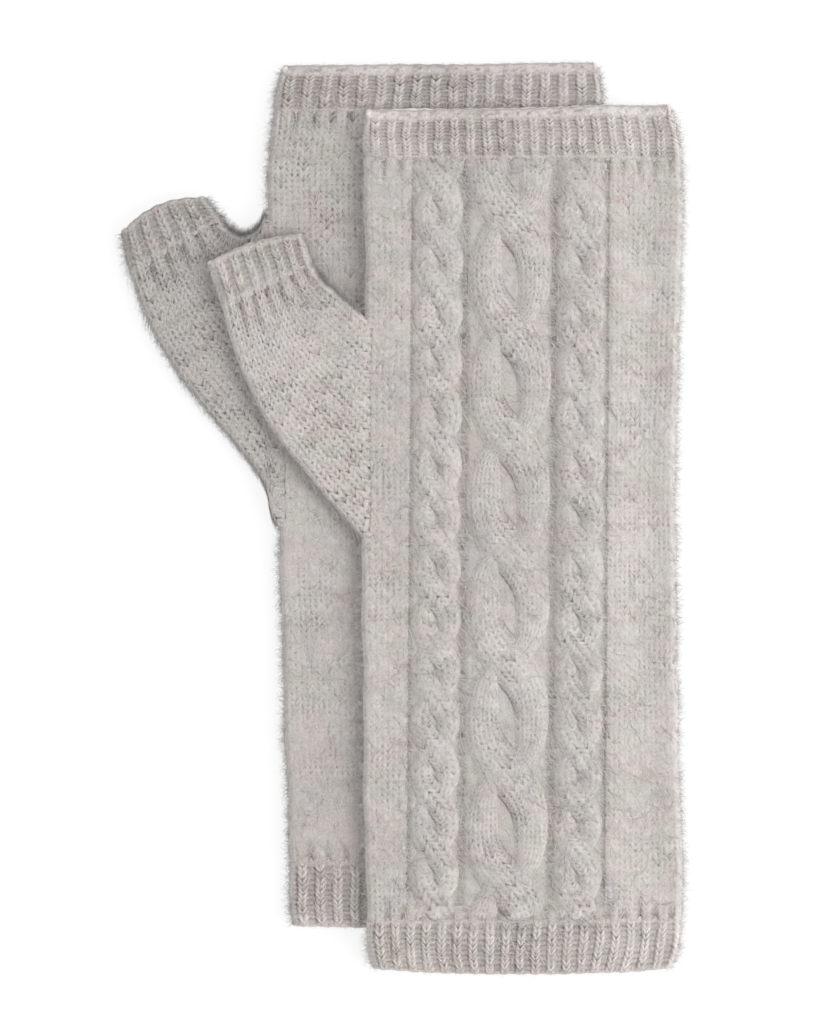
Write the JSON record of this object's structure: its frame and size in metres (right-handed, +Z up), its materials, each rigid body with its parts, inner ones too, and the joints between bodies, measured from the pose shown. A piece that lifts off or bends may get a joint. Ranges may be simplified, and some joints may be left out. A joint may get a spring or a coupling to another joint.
{
  "type": "pair of knitted arm warmers",
  "caption": "Pair of cable-knit fingerless arm warmers with ribbed cuffs and short open thumbs, laid flat one across the other.",
  "frame": {"origin": "centre of the pair's footprint, on the surface that it lies on", "axes": "+Y towards the finger ends, +X away from the thumbs, +Z up off the surface"},
  "size_m": [0.1604, 0.2584, 0.0108],
  "materials": {
    "plain_knit": "soft brushed heather wool, matt with a fine halo of hairs",
    "rib_knit": "the same wool in one-and-one rib, matt"
  },
  "bodies": {
    "root": {"right_hand_tube": "plain_knit", "right_thumb_tube": "plain_knit", "right_arm_rib": "rib_knit", "right_finger_rib": "rib_knit", "right_thumb_rib": "rib_knit", "left_hand_tube": "plain_knit", "left_thumb_tube": "plain_knit", "left_arm_rib": "rib_knit", "left_finger_rib": "rib_knit", "left_thumb_rib": "rib_knit"}
  },
  "joints": []
}
